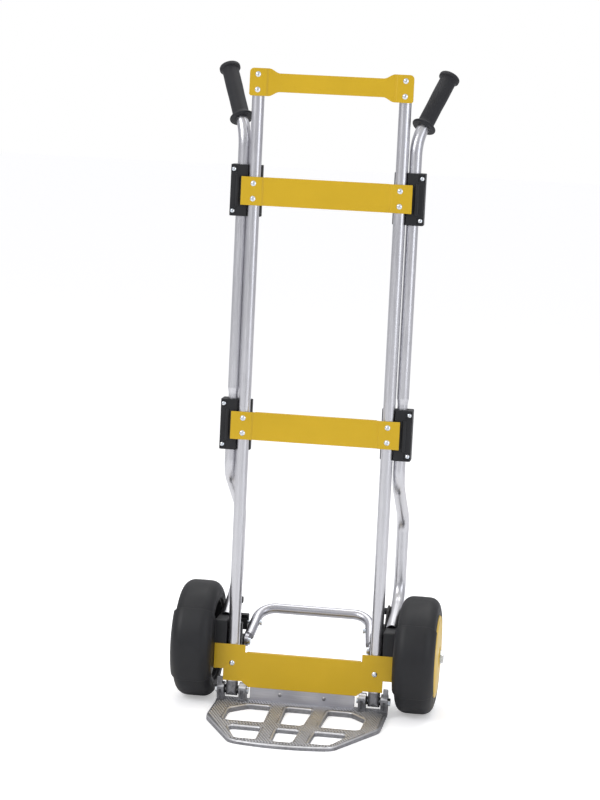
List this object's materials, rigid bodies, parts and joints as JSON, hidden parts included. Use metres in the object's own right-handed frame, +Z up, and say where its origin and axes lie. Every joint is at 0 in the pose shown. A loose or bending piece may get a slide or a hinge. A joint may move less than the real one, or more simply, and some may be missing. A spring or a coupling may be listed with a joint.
{
  "type": "hand truck",
  "caption": "Upright aluminium hand truck with angled grips, yellow cross plates, guarded wheels, a folding cast toe plate and a hinged rear foot bar.",
  "frame": {"origin": "on the floor, in the middle of the overall width and of the overall depth", "axes": "+Z up; the front, where the toe plate lies, faces -Y; +X is to the right when seen from the front; left_ parts are at -X and right_ parts at +X"},
  "size_m": [0.593, 0.506, 1.3834],
  "materials": {
    "tube_aluminium": "satin drawn aluminium tube",
    "bar_aluminium": "brushed aluminium tube",
    "flange_aluminium": "extruded aluminium strip",
    "cast_aluminium": "as cast, with a dimpled tread on the top face",
    "yellow_sheet": "smooth yellow powder coat",
    "yellow_plastic": "smooth yellow moulding",
    "black_plastic": "fine-textured black moulding",
    "grip_rubber": "matt black rubber",
    "tyre_rubber": "smooth treadless black tyre",
    "zinc_steel": "bright zinc plate"
  },
  "bodies": {
    "frame": {"left_upright": "tube_aluminium", "right_upright": "tube_aluminium", "upright_caps": "black_plastic", "top_plate": "yellow_sheet", "upper_plate": "yellow_sheet", "lower_plate": "yellow_sheet", "bottom_plate": "yellow_sheet", "plate_screws": "zinc_steel", "left_upper_clamp": "black_plastic", "right_upper_clamp": "black_plastic", "left_lower_clamp": "black_plastic", "right_lower_clamp": "black_plastic", "left_upper_clamp_cover": "black_plastic", "right_upper_clamp_cover": "black_plastic", "left_lower_clamp_cover": "black_plastic", "right_lower_clamp_cover": "black_plastic", "clamp_bolts": "zinc_steel", "clamp_nuts": "zinc_steel", "saddle_bolts": "zinc_steel", "left_handle_tube": "tube_aluminium", "right_handle_tube": "tube_aluminium", "left_grip": "grip_rubber", "right_grip": "grip_rubber", "left_leg_tube": "tube_aluminium", "right_leg_tube": "tube_aluminium", "leg_tube_knobs": "black_plastic", "left_wheel_bracket": "black_plastic", "right_wheel_bracket": "black_plastic", "left_stub_axle": "zinc_steel", "right_stub_axle": "zinc_steel", "axle_washers": "zinc_steel", "axle_nuts": "zinc_steel", "left_hinge_foot": "cast_aluminium", "right_hinge_foot": "cast_aluminium", "left_hinge_pin": "zinc_steel", "right_hinge_pin": "zinc_steel", "hinge_nuts": "zinc_steel", "hinge_washers": "black_plastic", "bar_pivot_bolts": "zinc_steel", "left_bar_arm": "black_plastic", "right_bar_arm": "black_plastic"},
    "left_wheel": {"left_tyre": "tyre_rubber", "left_rim": "black_plastic", "left_hub_cap": "yellow_plastic", "left_bearings": "zinc_steel", "left_bearing_spacer": "zinc_steel"},
    "right_wheel": {"right_tyre": "tyre_rubber", "right_rim": "black_plastic", "right_hub_cap": "yellow_plastic", "right_bearings": "zinc_steel", "right_bearing_spacer": "zinc_steel"},
    "toe": {"toe_plate": "cast_aluminium", "toe_back_flange": "flange_aluminium", "flange_rivets": "cast_aluminium"},
    "bar": {"rear_bar": "bar_aluminium", "left_bar_eye": "zinc_steel", "right_bar_eye": "zinc_steel", "bar_stop_bolts": "zinc_steel"}
  },
  "joints": [
    {"name": "left_wheel_spin", "type": "hinge", "parent": "frame", "child": "left_wheel", "pos_m": [-0.241, 0.126, 0.127], "axis": [1, 0, 0], "continuous": true},
    {"name": "right_wheel_spin", "type": "hinge", "parent": "frame", "child": "right_wheel", "pos_m": [0.241, 0.126, 0.127], "axis": [1, 0, 0], "continuous": true},
    {"name": "toe_plate_fold", "type": "hinge", "parent": "frame", "child": "toe", "pos_m": [0, 0.069, 0.032], "axis": [-1, 0, 0], "range_deg": [0, 90]},
    {"name": "rear_bar_swing", "type": "hinge", "parent": "frame", "child": "bar", "pos_m": [0, 0.126, 0.127], "axis": [1, 0, 0], "range_deg": [0, 55]}
  ]
}
